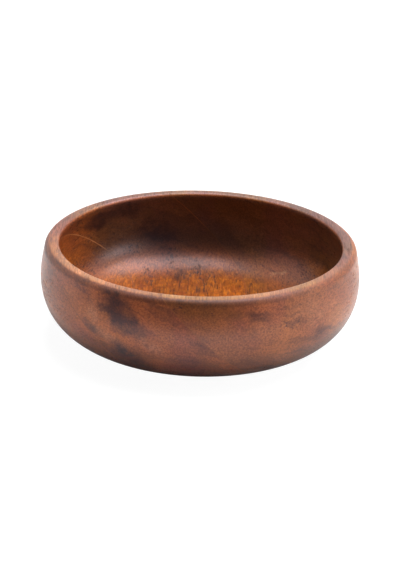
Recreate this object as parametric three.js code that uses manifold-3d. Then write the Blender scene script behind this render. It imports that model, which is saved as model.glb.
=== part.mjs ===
// Turned wooden nut bowl, in millimetres, standing on z = 0 with its axis on +Z.
// Three thick boards are glued face to face, the block is set on the lathe so that its joints lean,
// and the bowl is turned out of it: a flat base, a full rounded side and a wall that curls in to a plain lip.
// The fibres of all three boards run along Y, so the side that faces -Y shows end grain.

import * as THREE from "three";
import { mergeVertices } from "three/addons/utils/BufferGeometryUtils.js";
import Module from "manifold-3d";

// Outside of the bowl
const BELLY_DIAMETER = 152; // widest point of the side
const HEIGHT = 47.7; // table top to the top of the lip
const BASE_DIAMETER = 72; // flat face that the bowl stands on
const BELLY_HEIGHT = 31.3; // height of the widest point
const RIM_CURL = 1.8; // how far the wall has leaned back in where the lip's round begins
const UNDERSIDE_FULLNESS = 0.76; // how long the underside stays low as it leaves the base, 1 is square
const SIDE_FULLNESS = 0.51; // how long the side stays upright below the widest point
const CURL_FULLNESS = 0.3; // how long the side stays upright above the widest point

// Lip
const LIP_WIDTH = 7.2; // across the top, corner to corner before the rounds
const LIP_OUTER_ROUND = 3.2;
const LIP_INNER_ROUND = 2.6;
const LIP_INNER_DROP = 3.6; // top of the lip down to where its inner round ends

// Hollow
const WALL = 6.9; // at the widest point
const FLOOR = 7.5; // thickness at the middle
const FLOOR_DIAMETER = 76; // flat part of the floor inside
const HOLLOW_BELLY_HEIGHT = 34; // height of the hollow's widest point
const FLOOR_FULLNESS = 0.77; // how long the floor stays low as it nears the wall
const HOLLOW_SIDE_FULLNESS = 0.6; // how long the wall stays upright below the hollow's widest point
const HOLLOW_CURL_FULLNESS = 0.54; // how long the wall stays upright above it

// Boards and the glue between them
const MIDDLE_BOARD_THICKNESS = 39;
const JOINT_LEAN = 45; // degrees that the joints lean from upright, towards -X as they rise
const LEFT_JOINT_DROP = 3.2; // top of the lip down to where the left joint crosses the hollow's left side
const GLUE_THICKNESS = 0.3;
const GLUE_CLEARANCE = 0.02; // free space on each face of a glue line

// Facets
const TURN_SEGMENTS = 72;
const LONG_CURVE_STEPS = 9;
const SHORT_CURVE_STEPS = 4;
const ROUND_STEPS = 4;

const wasm = await Module();
wasm.setup();

// A point between two others: 0 is the first, 1 the second.
function between(first, second, share) {
  return first + (second - first) * share;
}

// Half section of the bowl, from the middle of the base round the outside and over the lip to the floor.
function bowlOutline() {
  const belly = BELLY_DIAMETER / 2;
  const base = BASE_DIAMETER / 2;
  const underside = new THREE.CubicBezierCurve(
    new THREE.Vector2(base, 0),
    new THREE.Vector2(between(base, belly, UNDERSIDE_FULLNESS), 0),
    new THREE.Vector2(belly, between(BELLY_HEIGHT, 0, SIDE_FULLNESS)),
    new THREE.Vector2(belly, BELLY_HEIGHT),
  );

  const shoulder = new THREE.Vector2(belly - RIM_CURL, HEIGHT - LIP_OUTER_ROUND);
  const curlHandle = new THREE.Vector2(belly, between(BELLY_HEIGHT, shoulder.y, CURL_FULLNESS));
  const curl = new THREE.QuadraticBezierCurve(
    new THREE.Vector2(belly, BELLY_HEIGHT),
    curlHandle,
    shoulder,
  );

  // The outer corner is where the leaning wall would reach the top of the lip if it were left sharp.
  const leanPerHeight = (curlHandle.x - shoulder.x) / (shoulder.y - curlHandle.y);
  const outerCorner = new THREE.Vector2(shoulder.x - leanPerHeight * LIP_OUTER_ROUND, HEIGHT);
  const lipOuterEnd = new THREE.Vector2(outerCorner.x - LIP_OUTER_ROUND, HEIGHT);
  const outerRound = new THREE.QuadraticBezierCurve(shoulder, outerCorner, lipOuterEnd);

  const mouthCorner = new THREE.Vector2(outerCorner.x - LIP_WIDTH, HEIGHT);
  const lipInnerEnd = new THREE.Vector2(mouthCorner.x + LIP_INNER_ROUND, HEIGHT);
  const lipTop = new THREE.LineCurve(lipOuterEnd, lipInnerEnd);

  // The hollow's wall heads for the mouth's corner, and the inner round takes over part of the way there.
  const hollowBelly = belly - WALL;
  const mouthHeight = HEIGHT - LIP_INNER_DROP;
  const hollowHandleHeight = between(HOLLOW_BELLY_HEIGHT, mouthHeight, HOLLOW_CURL_FULLNESS);
  const dropShare = LIP_INNER_DROP / (HEIGHT - hollowHandleHeight);
  const mouthEdge = new THREE.Vector2(between(mouthCorner.x, hollowBelly, dropShare), mouthHeight);
  const innerRound = new THREE.QuadraticBezierCurve(lipInnerEnd, mouthCorner, mouthEdge);
  const hollowCurl = new THREE.QuadraticBezierCurve(
    mouthEdge,
    new THREE.Vector2(hollowBelly, hollowHandleHeight),
    new THREE.Vector2(hollowBelly, HOLLOW_BELLY_HEIGHT),
  );

  const floorEdge = FLOOR_DIAMETER / 2;
  const hollowSide = new THREE.CubicBezierCurve(
    new THREE.Vector2(hollowBelly, HOLLOW_BELLY_HEIGHT),
    new THREE.Vector2(hollowBelly, between(HOLLOW_BELLY_HEIGHT, FLOOR, HOLLOW_SIDE_FULLNESS)),
    new THREE.Vector2(between(floorEdge, hollowBelly, FLOOR_FULLNESS), FLOOR),
    new THREE.Vector2(floorEdge, FLOOR),
  );

  const outline = [new THREE.Vector2(0, 0), new THREE.Vector2(base, 0)];
  const stretches = [
    [underside, LONG_CURVE_STEPS],
    [curl, SHORT_CURVE_STEPS],
    [outerRound, ROUND_STEPS],
    [lipTop, 1],
    [innerRound, ROUND_STEPS],
    [hollowCurl, SHORT_CURVE_STEPS],
    [hollowSide, LONG_CURVE_STEPS],
  ];
  for (const [curve, steps] of stretches) {
    outline.push(...curve.getPoints(steps).slice(1));
  }
  outline.push(new THREE.Vector2(0, FLOOR));
  return outline;
}

// A closed three.js geometry as a solid that can be cut.
function toSolid(geometry) {
  const bare = geometry.clone();
  bare.deleteAttribute("normal");
  bare.deleteAttribute("uv");
  const merged = mergeVertices(bare);
  const mesh = new wasm.Mesh({
    numProp: 3,
    vertProperties: merged.attributes.position.array,
    triVerts: new Uint32Array(merged.index.array),
  });
  return new wasm.Manifold(mesh);
}

// A cut solid as a three.js geometry.
function toGeometry(solid) {
  const mesh = solid.getMesh();
  const geometry = new THREE.BufferGeometry();
  geometry.setAttribute("position", new THREE.BufferAttribute(mesh.vertProperties, 3));
  geometry.setIndex(new THREE.BufferAttribute(mesh.triVerts, 1));
  geometry.computeVertexNormals();
  return geometry;
}

// One layer of the leaning stack, between two distances from the bowl's axis measured square to the joints.
const stackReach = BELLY_DIAMETER + HEIGHT;

function stackLayer(start, end) {
  const layer = new THREE.BoxGeometry(end - start, 2 * stackReach, 2 * stackReach);
  layer.translate((start + end) / 2, 0, 0);
  layer.rotateY(-lean);
  return toSolid(layer);
}

const turned = new THREE.LatheGeometry(bowlOutline(), TURN_SEGMENTS);
turned.rotateX(Math.PI / 2);
const bowl = toSolid(turned);

// Places along the stack, from the left joint, which crosses the hollow's left side just below the lip.
// Each glue line lies between two boards, with a little free space on both faces.
const lean = THREE.MathUtils.degToRad(JOINT_LEAN);
const leftCrossing = new THREE.Vector2(WALL - BELLY_DIAMETER / 2, HEIGHT - LEFT_JOINT_DROP);
const leftJoint = leftCrossing.x * Math.cos(lean) + leftCrossing.y * Math.sin(lean);
const leftGlueStart = leftJoint - GLUE_THICKNESS / 2;
const leftGlueEnd = leftJoint + GLUE_THICKNESS / 2;
const leftBoardEnd = leftGlueStart - GLUE_CLEARANCE;
const middleStart = leftGlueEnd + GLUE_CLEARANCE;
const middleEnd = middleStart + MIDDLE_BOARD_THICKNESS;
const rightGlueStart = middleEnd + GLUE_CLEARANCE;
const rightGlueEnd = rightGlueStart + GLUE_THICKNESS;
const rightBoardStart = rightGlueEnd + GLUE_CLEARANCE;

const leftWood = new THREE.MeshStandardMaterial({ color: 0x8f5636, roughness: 0.42, metalness: 0 });
const middleWood = new THREE.MeshStandardMaterial({ color: 0x9a5a33, roughness: 0.42, metalness: 0 });
const rightWood = new THREE.MeshStandardMaterial({ color: 0x95603f, roughness: 0.42, metalness: 0 });
const driedGlue = new THREE.MeshStandardMaterial({ color: 0xa9805c, roughness: 0.5, metalness: 0 });

const layers = [
  ["left_board", -stackReach, leftBoardEnd, leftWood],
  ["left_glue_line", leftGlueStart, leftGlueEnd, driedGlue],
  ["middle_board", middleStart, middleEnd, middleWood],
  ["right_glue_line", rightGlueStart, rightGlueEnd, driedGlue],
  ["right_board", rightBoardStart, stackReach, rightWood],
];

const nutBowl = new THREE.Group();
for (const [name, start, end, material] of layers) {
  const piece = new THREE.Mesh(toGeometry(bowl.intersect(stackLayer(start, end))), material);
  piece.name = name;
  nutBowl.add(piece);
}

export default nutBowl;
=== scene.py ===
import math

import bmesh
import bpy
from mathutils import Color, Matrix, Vector
from mathutils.geometry import interpolate_bezier


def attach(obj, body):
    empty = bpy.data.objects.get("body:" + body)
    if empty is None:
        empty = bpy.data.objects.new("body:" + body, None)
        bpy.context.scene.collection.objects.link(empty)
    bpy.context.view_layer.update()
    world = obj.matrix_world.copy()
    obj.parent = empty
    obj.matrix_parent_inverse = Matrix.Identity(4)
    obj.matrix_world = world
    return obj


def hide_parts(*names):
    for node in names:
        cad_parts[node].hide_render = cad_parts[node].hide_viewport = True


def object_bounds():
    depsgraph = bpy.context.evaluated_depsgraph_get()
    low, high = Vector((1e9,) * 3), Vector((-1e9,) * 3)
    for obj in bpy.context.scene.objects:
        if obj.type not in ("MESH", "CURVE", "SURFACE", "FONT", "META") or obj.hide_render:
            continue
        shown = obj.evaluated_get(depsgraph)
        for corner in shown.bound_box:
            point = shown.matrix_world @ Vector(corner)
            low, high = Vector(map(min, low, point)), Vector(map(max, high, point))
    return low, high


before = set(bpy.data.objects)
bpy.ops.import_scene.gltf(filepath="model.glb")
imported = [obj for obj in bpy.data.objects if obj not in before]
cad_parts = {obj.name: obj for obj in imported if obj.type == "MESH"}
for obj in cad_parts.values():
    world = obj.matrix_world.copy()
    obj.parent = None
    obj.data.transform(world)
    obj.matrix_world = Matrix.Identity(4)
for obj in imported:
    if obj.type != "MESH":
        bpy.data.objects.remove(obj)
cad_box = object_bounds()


# Left board
# The lowest of three thick planks of oiled hardwood, glued face to face with their fibres along Y.
# The glued block leans while the bowl is turned out of it, so this plank keeps only the lower left,
# and its joint comes out on the lip's outer round at the far left.
MM = 0.001
BELLY = float(cad_box[1][0])  # radius at the widest point
HEIGHT = float(cad_box[1][2])
BASE = 36.0 * MM  # radius of the flat face that the bowl stands on
BELLY_HEIGHT = 31.3 * MM
RIM_CURL = 1.8 * MM  # how far the wall has leaned back in where the lip's round begins
LIP_WIDTH = 7.2 * MM
LIP_OUTER_ROUND = 3.2 * MM
LIP_INNER_ROUND = 2.6 * MM
LIP_INNER_DROP = 3.6 * MM  # top of the lip down to where its inner round ends
WALL = 6.9 * MM
FLOOR = 7.5 * MM
FLOOR_EDGE = 38.0 * MM
HOLLOW_BELLY_HEIGHT = 34.0 * MM

# How long a stretch of the outline holds the direction that it has at one end, from 0 to 1
UNDERSIDE_FULLNESS = 0.76
SIDE_FULLNESS = 0.51
CURL_FULLNESS = 0.3
FLOOR_FULLNESS = 0.77
HOLLOW_SIDE_FULLNESS = 0.6
HOLLOW_CURL_FULLNESS = 0.54

# Steps in each stretch of the outline, and round the turned form
FLAT_STEPS = 8
SIDE_STEPS = 34
CURL_STEPS = 14
OUTER_ROUND_STEPS = 10
LIP_TOP_STEPS = 3
INNER_ROUND_STEPS = 9
HOLLOW_CURL_STEPS = 12
TURN_STEPS = 224
HANDLE_SHARE = 2 / 3  # how far towards its corner each handle of a plain bend lies
MERGE_DISTANCE = 0.001 * MM
CUT_TOLERANCE = 0.0001 * MM


def between(first, second, share):
    """A value between two others: 0 is the first, 1 the second."""
    return first + (second - first) * share


def sweep(start, leave, arrive, end, steps):
    """Points of a smooth stretch of the outline after its start, with the two handles that shape it."""
    knots = [Vector((radius, 0, height)) for radius, height in (start, leave, arrive, end)]
    return interpolate_bezier(*knots, steps + 1)[1:]


def bend(start, corner, end, steps):
    """Points of a plain bend that heads for one corner, after its start."""
    leave = [between(a, c, HANDLE_SHARE) for a, c in zip(start, corner)]
    arrive = [between(b, c, HANDLE_SHARE) for b, c in zip(end, corner)]
    return sweep(start, leave, arrive, end, steps)


def straight(start, end, steps):
    """Points of a straight stretch after its start."""
    middle = [between(a, b, 0.5) for a, b in zip(start, end)]
    return bend(start, middle, end, steps)


def bowl_outline():
    """Half section of the bowl, from the middle of the base up the outside and over the lip to the floor."""
    widest = (BELLY, BELLY_HEIGHT)
    base_handle = (between(BASE, BELLY, UNDERSIDE_FULLNESS), 0)
    belly_handle = (BELLY, between(BELLY_HEIGHT, 0, SIDE_FULLNESS))
    shoulder = (BELLY - RIM_CURL, HEIGHT - LIP_OUTER_ROUND)
    curl = (BELLY, between(BELLY_HEIGHT, shoulder[1], CURL_FULLNESS))

    # The lip's outer corner is where the leaning wall would reach the top if it were left sharp.
    lean = (curl[0] - shoulder[0]) / (shoulder[1] - curl[1])
    lip_corner = (shoulder[0] - lean * LIP_OUTER_ROUND, HEIGHT)
    lip_outer = (lip_corner[0] - LIP_OUTER_ROUND, HEIGHT)
    mouth_corner = (lip_corner[0] - LIP_WIDTH, HEIGHT)
    lip_inner = (mouth_corner[0] + LIP_INNER_ROUND, HEIGHT)

    # The hollow's wall heads for the mouth's corner, and the inner round takes over part of the way there.
    hollow = BELLY - WALL
    hollow_widest = (hollow, HOLLOW_BELLY_HEIGHT)
    mouth_height = HEIGHT - LIP_INNER_DROP
    hollow_curl = (hollow, between(HOLLOW_BELLY_HEIGHT, mouth_height, HOLLOW_CURL_FULLNESS))
    drop_share = LIP_INNER_DROP / (HEIGHT - hollow_curl[1])
    mouth_edge = (between(mouth_corner[0], hollow, drop_share), mouth_height)
    side_handle = (hollow, between(HOLLOW_BELLY_HEIGHT, FLOOR, HOLLOW_SIDE_FULLNESS))
    floor_handle = (between(FLOOR_EDGE, hollow, FLOOR_FULLNESS), FLOOR)
    floor_edge = (FLOOR_EDGE, FLOOR)

    points = [Vector((0, 0, 0))]
    points += straight((0, 0), (BASE, 0), FLAT_STEPS)
    points += sweep((BASE, 0), base_handle, belly_handle, widest, SIDE_STEPS)
    points += bend(widest, curl, shoulder, CURL_STEPS)
    points += bend(shoulder, lip_corner, lip_outer, OUTER_ROUND_STEPS)

    # The lip's top is level: a bend whose corner is its own start is straight, with its steps closer there.
    points += bend(lip_outer, lip_outer, lip_inner, LIP_TOP_STEPS)
    points += bend(lip_inner, mouth_corner, mouth_edge, INNER_ROUND_STEPS)
    points += bend(mouth_edge, hollow_curl, hollow_widest, HOLLOW_CURL_STEPS)
    points += sweep(hollow_widest, side_handle, floor_handle, floor_edge, SIDE_STEPS)
    points += straight(floor_edge, (0, FLOOR), FLAT_STEPS)
    return points


turned_form = bmesh.new()
outline = [turned_form.verts.new(point) for point in bowl_outline()]
edges = [turned_form.edges.new(pair) for pair in zip(outline, outline[1:])]
bmesh.ops.spin(
    turned_form,
    geom=outline + edges,
    cent=(0, 0, 0),
    axis=(0, 0, 1),
    angle=math.tau,
    steps=TURN_STEPS,
    use_merge=True,
)
bmesh.ops.remove_doubles(turned_form, verts=turned_form.verts, dist=MERGE_DISTANCE)
bmesh.ops.recalc_face_normals(turned_form, faces=turned_form.faces)
for face in turned_form.faces:
    face.smooth = True

JOINT_LEAN = math.radians(45)


def turned_layer(name, start, end):
    """The turned bowl cut down to one layer of the leaning stack, between two places along the stack."""
    layer = turned_form.copy()
    along = Vector((math.cos(JOINT_LEAN), 0, math.sin(JOINT_LEAN)))
    for place, facing in ((start, -1), (end, 1)):
        if place is None:
            continue
        cut = bmesh.ops.bisect_plane(
            layer,
            geom=layer.verts[:] + layer.edges[:] + layer.faces[:],
            dist=CUT_TOLERANCE,
            plane_co=along * place,
            plane_no=along * facing,
            clear_outer=True,
        )
        cut_edges = [item for item in cut["geom_cut"] if isinstance(item, bmesh.types.BMEdge)]
        bmesh.ops.triangle_fill(layer, edges=cut_edges, use_beauty=True, normal=along * facing)
        for edge in cut_edges:
            edge.smooth = False
    bmesh.ops.recalc_face_normals(layer, faces=layer.faces)
    mesh = bpy.data.meshes.new(name)
    layer.to_mesh(mesh)
    layer.free()
    piece = bpy.data.objects.new(name, mesh)
    bpy.context.scene.collection.objects.link(piece)
    return piece


class Nodes:
    """Shader nodes under construction, with short ways to add them and to join them."""

    def __init__(self, tree):
        self.tree = tree

    def add(self, kind, inputs=None, **settings):
        """A new node with its settings made and its inputs fed."""
        node = self.tree.nodes.new(kind)
        for key, value in settings.items():
            setattr(node, key, value)
        for key, value in (inputs or {}).items():
            self.feed(node.inputs[key], value)
        return node

    def feed(self, socket, value):
        """Join an input to another node's output, or set it to a constant."""
        if isinstance(value, bpy.types.NodeSocket):
            self.tree.links.new(value, socket)
        else:
            socket.default_value = value

    def number(self, operation, *values):
        """One step of arithmetic on numbers."""
        return self.add("ShaderNodeMath", dict(enumerate(values)), operation=operation).outputs[0]

    def vector(self, operation, *values, output="Vector"):
        """One step of arithmetic on vectors."""
        return self.add("ShaderNodeVectorMath", dict(enumerate(values)), operation=operation).outputs[output]

    def axis(self, vector, letter):
        """One coordinate of a vector."""
        return self.add("ShaderNodeSeparateXYZ", {"Vector": vector}).outputs[letter]

    def overlap(self, first, *others):
        """A mask that is strong only where all the given masks are."""
        for other in others:
            first = self.number("MULTIPLY", first, other)
        return first

    def mapped(self, place, angle=0.0, scale=(1, 1, 1), shift=(0, 0, 0)):
        """Places that are scaled, turned about Y and shifted."""
        inputs = {"Vector": place, "Rotation": (0, angle, 0), "Scale": scale, "Location": shift}
        return self.add("ShaderNodeMapping", inputs).outputs[0]

    def noise(self, place, scale, detail=3.0, rough=0.55, stretch=(1, 1, 1), output="Fac"):
        """Noise with so many lumps per metre, drawn out along the axes where its stretch is below 1."""
        drawn = self.mapped(place, scale=stretch)
        inputs = {"Vector": drawn, "Scale": scale, "Detail": detail, "Roughness": rough}
        return self.add("ShaderNodeTexNoise", inputs).outputs[output]

    def ramp(self, value, start, end, low=0.0, high=1.0):
        """A number that eases from low to high while the given value goes from start to end."""
        inputs = {"Value": value, "From Min": start, "From Max": end, "To Min": low, "To Max": high}
        return self.add("ShaderNodeMapRange", inputs, interpolation_type="SMOOTHSTEP").outputs[0]

    def mix(self, share, first, second, blend="MIX"):
        """Two colours mixed by a share from 0 to 1."""
        node = self.add("ShaderNodeMix", {"Factor": share}, data_type="RGBA", blend_type=blend)
        first_socket, second_socket = [socket for socket in node.inputs if socket.type == "RGBA"]
        self.feed(first_socket, first)
        self.feed(second_socket, second)
        return next(socket for socket in node.outputs if socket.type == "RGBA")

    def tint(self, share, colour, tone):
        """A colour multiplied by a tone, by a share from 0 to 1."""
        return self.mix(share, colour, tone, "MULTIPLY")


class Finish(Nodes):
    """A piece's material under construction, with measures that tell where on the bowl a spot is."""

    def __init__(self, name):
        self.material = bpy.data.materials.new(name)
        self.material.use_nodes = True
        super().__init__(self.material.node_tree)
        self.shader = self.tree.nodes["Principled BSDF"].inputs
        self.place = self.add("ShaderNodeTexCoord").outputs["Object"]
        self.normal = self.add("ShaderNodeNewGeometry").outputs["Normal"]

        # Tilt is 1 facing up and -1 facing down, facing is 1 away from the bowl's axis and -1 towards it.
        outward = self.vector("NORMALIZE", self.vector("MULTIPLY", self.place, (1, 1, 0)))
        self.measures = {
            "height": self.axis(self.place, "Z"),
            "tilt": self.axis(self.normal, "Z"),
            "facing": self.vector("DOT_PRODUCT", self.normal, outward, output="Value"),
        }

    def where(self, *spans):
        """A mask of the spots where every span's measure has gone from its start to its end.

        A span may also give the mask's strengths at its start and its end, where they aren't 0 and 1.
        """
        return self.overlap(*[self.ramp(self.measures[measure], *limits) for measure, *limits in spans])

    def patch(self, place, middle, reach, lean, soft):
        """1 inside a soft-edged ellipsoid that leans about Y, 0 outside it, with its sizes in millimetres."""
        inputs = {
            "Vector": place,
            "Location": [value * MM for value in middle],
            "Rotation": (0, math.radians(lean), 0),
            "Scale": [value * MM for value in reach],
        }
        local = self.add("ShaderNodeMapping", inputs, vector_type="TEXTURE").outputs[0]
        distance = self.vector("LENGTH", local, output="Value")
        return self.ramp(distance, 1.0, 1.0 - soft)

    def fine_relief(self, height, strength, depth):
        """A fine relief in the surface, from a height pattern."""
        bump = self.add("ShaderNodeBump", {"Strength": strength, "Distance": depth, "Height": height})
        self.feed(self.shader["Normal"], bump.outputs["Normal"])


def srgb(red, green, blue):
    """A colour as a screen gives it, 0 to 255, as linear light."""
    shares = [value / 255 for value in (red, green, blue)]
    return (*Color(shares).from_srgb_to_scene_linear(), 1.0)


PALE_WOOD = srgb(162, 84, 28)
DEEP_WOOD = srgb(132, 66, 24)
DARK_WOOD = srgb(48, 26, 18)
STAIN = srgb(60, 27, 15)
TAN = srgb(172, 112, 64)

# Grain that strays, so that no growth layer or mark has a straight edge
SWIRL = {"scale": 80.0, "detail": 6.0, "rough": 0.65, "output": "Color"}
MIDDLE_OF_SWIRL = (0.5, 0.5, 0.5)
STRAY_REACH = (12 * MM, 16 * MM, 12 * MM)
LIP_SIDE_TURN = 0.25  # the sanded and the worn part of the lip meet on a line turned by this slope
END_GRAIN_SPAN = (0.25, 0.9)


def follow_grain(wood):
    """Give the wood its strayed places, and the measures that follow them and the fibres."""
    swirl = wood.vector("SUBTRACT", wood.noise(wood.place, **SWIRL), MIDDLE_OF_SWIRL)
    wood.stray = wood.vector("ADD", wood.place, wood.vector("MULTIPLY", swirl, STRAY_REACH))
    across, back, strayed_height = [wood.axis(wood.stray, letter) for letter in "XYZ"]
    along_fibres = wood.number("ABSOLUTE", wood.axis(wood.normal, "Y"))
    wood.measures["across"] = across
    wood.measures["back"] = back
    wood.measures["strayed height"] = strayed_height
    wood.measures["lip side"] = wood.number("MULTIPLY_ADD", across, LIP_SIDE_TURN, back)
    wood.measures["end grain"] = wood.ramp(along_fibres, *END_GRAIN_SPAN)


# Growth of the plank
TONE_CLOUDS = {"scale": 42.0, "stretch": (1, 0.3, 0.5)}
TONE_SPAN = (0.36, 0.64)
GROWTH_BANDS = {"scale": 420.0, "detail": 4.0, "rough": 0.6, "stretch": (1, 0.06, 0.1)}
BAND_SPAN = (0.45, 0.72)
BAND_STRENGTH = 0.42
HUE_CLOUDS = {"scale": 38.0, "detail": 4.0, "stretch": (1, 0.5, 1)}
HUE_SPAN = (0.4, 0.6)
RED_DRIFT = (0.95, 0.91, 1.2, 1.0)
GOLD_DRIFT = (1.0, 1.05, 0.95, 1.0)


def grown(wood, tone, pale, deep, ring_turn, shift):
    """The plank's own colour: broad tones, dark growth bands along the fibres and a slow drift of hue."""
    colour = wood.mix(wood.ramp(tone, *TONE_SPAN), pale, deep)
    rings = wood.mapped(wood.stray, angle=ring_turn, shift=shift)
    bands = wood.ramp(wood.noise(rings, **GROWTH_BANDS), *BAND_SPAN, high=BAND_STRENGTH)
    colour = wood.mix(bands, colour, DARK_WOOD)
    drift = wood.ramp(wood.noise(wood.stray, **HUE_CLOUDS), *HUE_SPAN)
    return wood.tint(1.0, colour, wood.mix(drift, RED_DRIFT, GOLD_DRIFT))


# Stains, pale spots and crowds of pores
TORN_FIBRES = {"scale": 240.0, "detail": 5.0, "rough": 0.65, "stretch": (1, 0.3, 1)}
TORN_SPAN = (0.32, 0.6, 0.45, 1.0)
DOTS = {"scale": 620.0, "detail": 2.0, "stretch": (1, 0.2, 1)}
DOT_SPAN = (0.52, 0.66)


def marked(wood, colour, marks):
    """The colour with the plank's own marks on it.

    A mark gives its texture, its middle and reach in millimetres, its lean about Y in degrees,
    and the softness of its edge, its strength and its tint.
    """
    textures = {
        "torn": wood.ramp(wood.noise(wood.place, **TORN_FIBRES), *TORN_SPAN),
        "dotted": wood.ramp(wood.noise(wood.place, **DOTS), *DOT_SPAN),
    }
    for texture, middle, reach, lean, soft, strength, tint in marks:
        mask = wood.overlap(wood.patch(wood.stray, middle, reach, lean, soft), textures[texture], strength)
        colour = wood.mix(mask, colour, tint)
    return colour


# Open vessels: fine dark slits along the fibres, crowded in some places and nearly closed on end grain
VESSELS = {"scale": 1100.0, "rough": 0.6, "stretch": (1, 0.1, 1)}
VESSEL_CROWDS = {"scale": 120.0, "detail": 2.0, "stretch": (1, 0.25, 1)}
CROWD_SPAN = (0.35, 0.7, 0.62, 0.5)
VESSEL_EDGE = 0.12
VESSEL_SHARE = (
    ("end grain", 0.0, 1.0, 0.75, 0.3),
    ("facing", 0.1, 0.6, 1.0, 0.3),
    ("height", HEIGHT - 1.5 * MM, HEIGHT - 0.3 * MM, 1.0, 0.4),
)


def open_vessels(wood):
    """1 where a vessel lies open at the surface, 0 between the vessels."""
    closed = wood.ramp(wood.noise(wood.place, **VESSEL_CROWDS), *CROWD_SPAN)
    above = wood.number("SUBTRACT", wood.noise(wood.place, **VESSELS), closed)
    return wood.ramp(above, 0.0, VESSEL_EDGE)


# Painted shade, a painted highlight, and the wear of hands and use: each tone multiplies the colour, in the
# place that goes with it
# Painted shade on the hollow's steep inner wall below the lip top, eased off at the far left and a little on
# the right
SHADED_HOLLOW = (0.25, 0.4, 1.0, 1.0)
HOLLOW_WALL = (
    ("facing", -0.6, -0.98),
    ("height", HEIGHT - 0.4 * MM, HEIGHT - 2.4 * MM),
    ("across", -71 * MM, -45 * MM),
    ("across", 10 * MM, 50 * MM, 1.0, 0.88),
)
# Low in the right of the hollow, the painted shade on the wall keeps only this share
SHADE_EASED_CORNER = (("across", 25 * MM, 50 * MM), ("height", 28 * MM, 18 * MM))
CORNER_SHADE_SHARE = 0.2
RUBBED_FLOOR = (0.9, 0.84, 0.7, 1.0)
FLOOR_FLECK = (1.28, 1.34, 0.9, 1.0)
FLECKS = {"scale": 480.0, "detail": 2.0, "stretch": (1, 0.35, 1)}
FLECK_SPAN = (0.4, 0.62)
FLOOR_PLACE = (("tilt", 0.75, 0.95), ("height", 22 * MM, 14 * MM), ("across", 45 * MM, 25 * MM))
# Painted shade on the lower outside where it faces down, stronger towards the foot and left off the flat base
SHADED_FOOT = (0.24, 0.27, 0.7, 1.0)
FOOT_PLACE = (("strayed height", 32 * MM, 5 * MM), ("tilt", 0.0, -0.4), ("tilt", -0.999, -0.97))
LIP_TOP = (("height", HEIGHT - 1.0 * MM, HEIGHT - 0.2 * MM), ("facing", 0.5, 0.1))
SANDED_LIP = (1.3, 2.0, 3.8, 1.0)
FRONT_LIP = (*LIP_TOP, ("lip side", 15 * MM, -50 * MM))
WORN_LIP = (0.56, 0.82, 2.5, 1.0)
BACK_LIP = (*LIP_TOP, ("lip side", -35 * MM, 25 * MM))
# Painted shade on the upper part of the lip's outer round at the front, fading out towards the right
SHADED_ROUND = (0.58, 0.6, 0.66, 1.0)
FRONT_ROUND = (
    ("height", HEIGHT - 3.6 * MM, HEIGHT - 2.0 * MM),
    ("facing", 0.2, 0.5),
    ("back", 20 * MM, -20 * MM),
    ("across", 55 * MM, 25 * MM),
)
# Painted highlight on the top of the lip's inner round at the back
PAINTED_EDGE_HIGHLIGHT = (1.7, 2.3, 3.2, 1.0)
BACK_EDGE = (
    ("height", HEIGHT - 1.3 * MM, HEIGHT - 0.5 * MM),
    ("facing", -0.2, -0.45),
    ("back", 20 * MM, 50 * MM),
)


def wear_and_painted_light(wood, colour):
    """The colour after hands and use, with painted light: painted shade on the wall inside, a rubbed floor,
    painted shade on the foot, a worn lip, painted shade on the lip's front outer round and a painted
    highlight on its inner edge at the back.
    """
    flecks = wood.ramp(wood.noise(wood.stray, **FLECKS), *FLECK_SPAN)
    # Painted shade on the hollow's wall, eased in its lower right corner
    shade_left = wood.ramp(wood.where(*SHADE_EASED_CORNER), 0.0, 1.0, 1.0, CORNER_SHADE_SHARE)
    oiled_and_shaded = wood.overlap(wood.where(*HOLLOW_WALL), shade_left)
    colour = wood.tint(oiled_and_shaded, colour, SHADED_HOLLOW)
    colour = wood.tint(wood.where(*FLOOR_PLACE), colour, wood.mix(flecks, RUBBED_FLOOR, FLOOR_FLECK))
    worn_places = (
        (SHADED_FOOT, FOOT_PLACE),
        (SANDED_LIP, FRONT_LIP),
        (WORN_LIP, BACK_LIP),
        (SHADED_ROUND, FRONT_ROUND),
        (PAINTED_EDGE_HIGHLIGHT, BACK_EDGE),
    )
    for tone, place in worn_places:
        colour = wood.tint(wood.where(*place), colour, tone)
    return colour


# Surface of the oiled wood
END_GRAIN = (1.0, 0.98, 1.45, 1.0)
FINE_FIBRES = {"scale": 1300.0, "rough": 0.75, "stretch": (1, 0.08, 1)}
FIBRE_SPAN = (0.25, 0.75, 0.52, 1.48)
SHEEN = (1.0, 0.9, 0.97, 1.0)
GLOSS_SPAN = (0.3, 0.7, 0.28, 0.36)
DULL_LIP = ("height", HEIGHT - 4.0 * MM, HEIGHT - 1.5 * MM, 0.0, 0.15)
VESSEL_ROUGHNESS = 0.2
FIBRE_RELIEF = 0.5
RELIEF_STRENGTH = 0.2
RELIEF_DEPTH = 0.2 * MM


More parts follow.
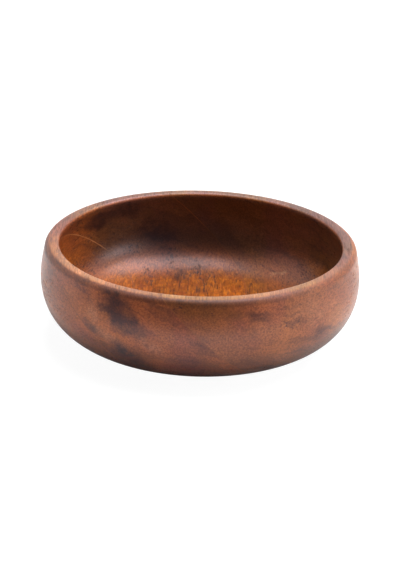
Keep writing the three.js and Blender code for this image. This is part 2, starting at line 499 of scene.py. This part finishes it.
def oiled_wood(name, pale, deep, ring_turn, shift, marks):
    """Oiled hardwood with its fibres along Y: growth, marks, end grain, vessels, wear with painted shade and
    a painted highlight, gloss and relief.
    """
    wood = Finish(name)
    follow_grain(wood)
    tone = wood.noise(wood.mapped(wood.stray, angle=JOINT_LEAN), **TONE_CLOUDS)
    colour = marked(wood, grown(wood, tone, pale, deep, ring_turn, shift), marks)
    colour = wood.tint(wood.measures["end grain"], colour, END_GRAIN)
    vessels = open_vessels(wood)
    vessel_depth = wood.overlap(vessels, wood.where(*VESSEL_SHARE))
    colour = wood.mix(vessel_depth, colour, DARK_WOOD)
    fibres = wood.noise(wood.place, **FINE_FIBRES)
    colour = wood.tint(1.0, colour, wood.ramp(fibres, *FIBRE_SPAN))
    wood.feed(wood.shader["Base Color"], wear_and_painted_light(wood, colour))
    wood.feed(wood.shader["Specular Tint"], SHEEN)

    roughness = wood.number("ADD", wood.ramp(tone, *GLOSS_SPAN), wood.where(DULL_LIP))
    roughness = wood.number("MULTIPLY_ADD", vessels, VESSEL_ROUGHNESS, roughness)
    wood.feed(wood.shader["Roughness"], roughness)
    relief = wood.number("SUBTRACT", wood.number("MULTIPLY", fibres, FIBRE_RELIEF), vessel_depth)
    wood.fine_relief(relief, RELIEF_STRENGTH, RELIEF_DEPTH)
    return wood.material


LEFT_JOINT_DROP = 3.2 * MM  # top of the lip down to where the joint crosses the hollow's left side
JOINT_GAP = 0.34 * MM  # the glue line, with the little free space on both its faces
LEFT_RING_TURN = math.radians(78)
LEFT_SHIFT = (0, 0, 0)  # each plank has its own stretch of the growth pattern
LEFT_MARKS = (
    # Stain and pale streak at the far left, under the lip
    ("torn", (-70, -28, 40), (6, 16, 6), 0, 1.0, 0.3, STAIN),
    ("torn", (-70, -27, 34), (6, 10, 2.5), 0, 0.8, 0.5, TAN),
)
left_joint = (WALL - BELLY) * math.cos(JOINT_LEAN) + (HEIGHT - LEFT_JOINT_DROP) * math.sin(JOINT_LEAN)
left_board = turned_layer("left_board_wood", None, left_joint - JOINT_GAP / 2)
left_board.data.materials.append(
    oiled_wood("left_board_oiled", PALE_WOOD, DEEP_WOOD, LEFT_RING_TURN, LEFT_SHIFT, LEFT_MARKS)
)
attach(left_board, "root")
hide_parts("left_board")


# Middle board
# The plank of hardwood that is glued between the other two and turned with them.
# It keeps the middle of the floor, most of the lip's left half and much of the front wall.
# A dark vein of heartwood runs through it along the fibres and shows on the front and on the back inside.
MIDDLE_BOARD = 39.0 * MM  # thickness between its two joints
MIDDLE_RING_TURN = math.radians(72)
MIDDLE_SHIFT = (0.21, 0.4, 0.13)
MIDDLE_MARKS = (
    # Pale wood on both sides of the dark patch at the front left
    ("torn", (-47, -60, 36), (6, 20, 9), 0, 1.0, 0.55, TAN),
    ("torn", (-22, -71, 25), (9, 20, 5), 20, 1.0, 0.4, TAN),
    # The dark patch, from the lip down
    ("torn", (-50, -49, 47), (9, 11, 4), 0, 0.9, 0.35, STAIN),
    ("torn", (-52, -52, 42), (9, 14, 6), 30, 0.9, 0.45, STAIN),
    ("torn", (-39, -62, 42), (9, 20, 7), 45, 0.5, 0.85, STAIN),
    ("torn", (-35, -66, 38), (11, 24, 8), 45, 0.5, 0.85, STAIN),
    ("torn", (-32, -68, 32), (11, 24, 7), 30, 0.6, 0.85, STAIN),
    ("torn", (-47, -59, 27), (7, 14, 4), 25, 0.8, 0.9, STAIN),
    # Pale streak under the patch, and the dark wood below it
    ("torn", (-40, -63, 25), (14, 20, 4), 30, 1.0, 0.45, TAN),
    ("torn", (-31, -66, 17), (18, 22, 8), 20, 0.8, 1.0, STAIN),
    ("torn", (-44, -54, 13), (22, 20, 8), 25, 0.9, 0.9, STAIN),
    # Stain at the middle of the front
    ("torn", (3, -75, 26), (9, 14, 8), 30, 1.0, 0.5, STAIN),
    # Dark knot on the back inside, with pores and a stain below it
    ("torn", (-23, 64, 28), (20, 22, 10), 0, 0.8, 0.85, STAIN),
    ("dotted", (-33, 57, 20), (11, 10, 6), 0, 0.6, 0.8, STAIN),
    ("torn", (-17, 61, 16), (10, 14, 6), 30, 0.9, 0.5, STAIN),
    ("dotted", (-16, 62, 17), (10, 10, 7), 0, 0.6, 0.8, STAIN),
    # Dark band under the lip at the back left inside
    ("torn", (-52, 46, 39), (14, 16, 6), 0, 0.6, 0.9, STAIN),
    ("torn", (-38, 57, 41), (15, 14, 6), 0, 0.7, 0.9, STAIN),
    # Stain at the back edge of the floor
    ("torn", (-10, 50, 9.5), (7, 9, 4), 0, 0.9, 0.85, STAIN),
)
middle_start = left_joint + JOINT_GAP / 2
middle_end = middle_start + MIDDLE_BOARD
middle_board = turned_layer("middle_board_wood", middle_start, middle_end)
middle_board.data.materials.append(
    oiled_wood("middle_board_oiled", PALE_WOOD, DEEP_WOOD, MIDDLE_RING_TURN, MIDDLE_SHIFT, MIDDLE_MARKS)
)
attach(middle_board, "root")
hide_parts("middle_board")


# Right board
# The highest plank of hardwood, glued on the middle one and turned with it.
# It keeps the right side of the bowl and the right half of the lip.
# Its wood is a little less red than in the other two, and golden where the front wall nears the lip.
RIGHT_PALE = srgb(160, 88, 32)
RIGHT_DEEP = srgb(131, 69, 27)
GOLDEN = srgb(100, 52, 10)
RIGHT_RING_TURN = math.radians(80)
RIGHT_SHIFT = (0.53, 0.8, 0.37)
RIGHT_MARKS = (
    # Golden wood on the front under the lip, with pores in it
    ("torn", (2, -73, 43), (30, 20, 8), 0, 0.9, 1.0, GOLDEN),
    ("dotted", (-8, -74, 43.5), (6, 8, 3), 10, 0.6, 0.9, STAIN),
    ("dotted", (5.5, -75, 40), (3, 8, 2), 0, 0.6, 0.9, STAIN),
    # Pale wood at the right of the front, with dark streaks and pores
    ("torn", (52, -52, 36), (24, 24, 12), 20, 1.0, 0.45, TAN),
    ("torn", (27, -70, 39), (9, 12, 4), 20, 0.9, 0.9, STAIN),
    ("torn", (43, -62, 33), (9, 12, 3), 15, 0.9, 0.6, STAIN),
    ("dotted", (42, -63, 33.5), (14, 14, 5), 15, 0.8, 0.9, STAIN),
    ("torn", (56, -50, 25), (8, 12, 4), 20, 0.9, 0.7, STAIN),
    # Faint stain and pale spots on the back right inside
    ("torn", (41, 53, 22), (8, 14, 5), 0, 0.9, 0.3, STAIN),
    ("torn", (57, 36, 22), (9, 14, 5), 0, 0.9, 0.5, TAN),
    ("torn", (40, 44.5, 13), (7, 4, 1.6), -15, 0.5, 1.0, TAN),
)
right_board = turned_layer("right_board_wood", middle_end + JOINT_GAP, None)
right_board.data.materials.append(
    oiled_wood("right_board_oiled", RIGHT_PALE, RIGHT_DEEP, RIGHT_RING_TURN, RIGHT_SHIFT, RIGHT_MARKS)
)
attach(right_board, "root")
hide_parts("right_board")


# Glue lines
# Two films of dried wood glue, squeezed thin between the planks and turned flush with them.
# They show as fine pale lines high on the wall inside, and take the wood's tone lower down and outside, with
# the inner wall's painted shade on the wall.
OUTER_GLUE = srgb(122, 64, 29)
OUTSIDE = ("facing", -0.2, 0.3)
# The inner wall's tone, painted shade included
SHADED_WALL_GLUE = srgb(78, 46, 26)
WALL_FADE = 8 * MM
FLOOR_GLUE = srgb(140, 73, 31)
FLOOR_FADE = ("height", 21 * MM, 14 * MM)
GLUE_CLOUDS = {"scale": 420.0}
CLOUD_SPAN = (0.3, 0.7)
GLUE_ROUGHNESS = (0.38, 0.5)
GLUE_RELIEF_STRENGTH = 0.1
GLUE_RELIEF_DEPTH = 0.1 * MM


def dried_glue(name, deep, pale, fade_height):
    """Dried glue with a cloudy tone, which fades into the wall's tone with its painted shade below a given
    height.
    """
    glue = Finish(name)
    clouds = glue.noise(glue.place, **GLUE_CLOUDS)
    colour = glue.mix(glue.ramp(clouds, *CLOUD_SPAN), deep, pale)
    colour = glue.mix(glue.where(("height", fade_height, fade_height - WALL_FADE)), colour, SHADED_WALL_GLUE)
    colour = glue.mix(glue.where(FLOOR_FADE), colour, FLOOR_GLUE)
    colour = glue.mix(glue.where(OUTSIDE), colour, OUTER_GLUE)
    glue.feed(glue.shader["Base Color"], colour)
    glue.feed(glue.shader["Roughness"], glue.ramp(clouds, *CLOUD_SPAN, *GLUE_ROUGHNESS))
    glue.fine_relief(clouds, GLUE_RELIEF_STRENGTH, GLUE_RELIEF_DEPTH)
    return glue.material


# Side, place along the stack, deep tone, pale tone, and the height where the line starts to fade
glue_lines = (
    ("left", left_joint - JOINT_GAP / 2, srgb(154, 94, 53), srgb(170, 110, 66), 28 * MM),
    ("right", middle_end, srgb(104, 59, 34), srgb(118, 69, 41), 33 * MM),
)
for side, start, deep, pale, fade_height in glue_lines:
    film = turned_layer(f"{side}_glue_film", start, start + JOINT_GAP)
    film.data.materials.append(dried_glue(f"{side}_dried_glue", deep, pale, fade_height))
    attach(film, "root")
    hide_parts(f"{side}_glue_line")
turned_form.free()


# Studio
# A white table in a white room. A small sheet of paper lights the bowl from below, and a wide glowing sheet
# just under it and a round wall far off are what the camera sees.
# A broad softbox hangs over the bowl, with a small lamp in front and one on the right.
TABLE_REACH = 0.2
TABLE_WHITE = 0.77
SHEET_REACH = 6.0
SHEET_DROP = 0.2 * MM
SHEET_WHITE = 0.5
SHEET_GLOW = 0.585
SHEET_GRID = 8
WALL_SEGMENTS = 64
WALL_GLOW = 1.0
PAPER_ROUGHNESS = 0.9
WHITE = (1, 1, 1, 1)


def level_form(reach, height):
    """A level square, twice as wide as its reach."""
    form = bmesh.new()
    bmesh.ops.create_grid(form, x_segments=SHEET_GRID, y_segments=SHEET_GRID, size=reach)
    bmesh.ops.translate(form, verts=form.verts, vec=(0, 0, height))
    return form


def white_paper(name, form, white, glow):
    """White paper of a given form that may glow a little, as a light table does."""
    mesh = bpy.data.meshes.new(name)
    form.to_mesh(mesh)
    form.free()
    sheet = bpy.data.objects.new(name, mesh)
    bpy.context.scene.collection.objects.link(sheet)
    material = bpy.data.materials.new(name)
    material.use_nodes = True
    paper = material.node_tree.nodes["Principled BSDF"].inputs
    paper["Base Color"].default_value = (white, white, white, 1)
    paper["Roughness"].default_value = PAPER_ROUGHNESS
    paper["Emission Color"].default_value = WHITE
    paper["Emission Strength"].default_value = glow
    mesh.materials.append(material)
    return sheet


table_top = white_paper("table_top", level_form(TABLE_REACH, 0.0), TABLE_WHITE, 0.0)
table_top.visible_camera = False
table_top.visible_shadow = False
light_sheet = white_paper("light_sheet", level_form(SHEET_REACH, -SHEET_DROP), SHEET_WHITE, SHEET_GLOW)
light_sheet.visible_diffuse = False
light_sheet.visible_glossy = False

round_wall = bmesh.new()
bmesh.ops.create_cone(
    round_wall,
    cap_ends=False,
    segments=WALL_SEGMENTS,
    radius1=SHEET_REACH,
    radius2=SHEET_REACH,
    depth=2 * SHEET_REACH,
)
backdrop = white_paper("backdrop", round_wall, SHEET_WHITE, WALL_GLOW)
backdrop.visible_diffuse = False
backdrop.visible_glossy = False
backdrop.visible_shadow = False


def aimed(place, way):
    """The matrix of a lamp or camera that stands at a place and looks along a way."""
    return Matrix.Translation(place) @ way.to_track_quat("-Z", "Y").to_matrix().to_4x4()


def area_lamp(name, width, depth, energy, place, aim, spread=math.pi):
    """A rectangular lamp that stands at a place and is aimed at another."""
    lamp = bpy.data.lights.new(name, "AREA")
    lamp.shape = "RECTANGLE"
    lamp.size = width
    lamp.size_y = depth
    lamp.energy = energy
    lamp.spread = spread
    holder = bpy.data.objects.new(name, lamp)
    holder.matrix_world = aimed(Vector(place), Vector(aim) - Vector(place))
    bpy.context.scene.collection.objects.link(holder)


area_lamp("softbox", width=1.2, depth=0.7, energy=12.8, place=(0.4, 0.12, 1.0), aim=(0.4, 0.12, 0))
area_lamp(
    "front_lamp",
    width=0.4,
    depth=0.1,
    energy=0.3,
    place=(0.08, -0.19, 0.4),
    aim=(0.08, -0.19, 0),
    spread=math.radians(24),
)
area_lamp("side_lamp", width=0.4, depth=0.25, energy=0.9, place=(0.72, -0.17, 0.32), aim=(0, 0, 0))

# The room is bright behind the bowl and on its right, and dark behind the camera.
ROOM_RIGHT_SHARE = 0.38
ROOM_SPAN = (-0.65, 0.25)
ROOM_DARK = 0.04
ROOM_BRIGHT = 1.41
world = bpy.data.worlds.new("white_room")
world.use_nodes = True
room = Nodes(world.node_tree)
background = world.node_tree.nodes["Background"].inputs
way = room.add("ShaderNodeTexCoord").outputs["Generated"]
right_side = room.number("MAXIMUM", room.axis(way, "X"), 0.0)
lit_side = room.number("MULTIPLY_ADD", right_side, ROOM_RIGHT_SHARE, room.axis(way, "Y"))
room.feed(background["Strength"], room.ramp(lit_side, *ROOM_SPAN, ROOM_DARK, ROOM_BRIGHT))
room.feed(background["Color"], WHITE)
bpy.context.scene.world = world
bpy.context.scene.view_settings.view_transform = "Standard"


# Camera
# The photograph's own view: a long lens, raised about 22 degrees, with the picture turned a little clockwise.
IMAGE_WIDTH = 400
IMAGE_HEIGHT = 570
ELEVATION = math.radians(22.43)
DISTANCE = 0.894
FOCAL_PIXELS = 1864.4
ROLL = math.radians(1.579)
TARGET = Vector((0, 0, 0.025))
TARGET_PIXEL = (199.8, 284.8)
SENSOR = 36.0

lens = bpy.data.cameras.new("view")
lens.sensor_fit = "VERTICAL"
lens.sensor_height = SENSOR
lens.lens = FOCAL_PIXELS / IMAGE_HEIGHT * SENSOR
lens.shift_x = (IMAGE_WIDTH / 2 - TARGET_PIXEL[0]) / IMAGE_HEIGHT
lens.shift_y = (TARGET_PIXEL[1] - IMAGE_HEIGHT / 2) / IMAGE_HEIGHT
camera = bpy.data.objects.new("view", lens)
ahead = Vector((0, math.cos(ELEVATION), -math.sin(ELEVATION)))
camera.matrix_world = aimed(TARGET - ahead * DISTANCE, ahead) @ Matrix.Rotation(ROLL, 4, "Z")
bpy.context.scene.collection.objects.link(camera)
bpy.context.scene.camera = camera
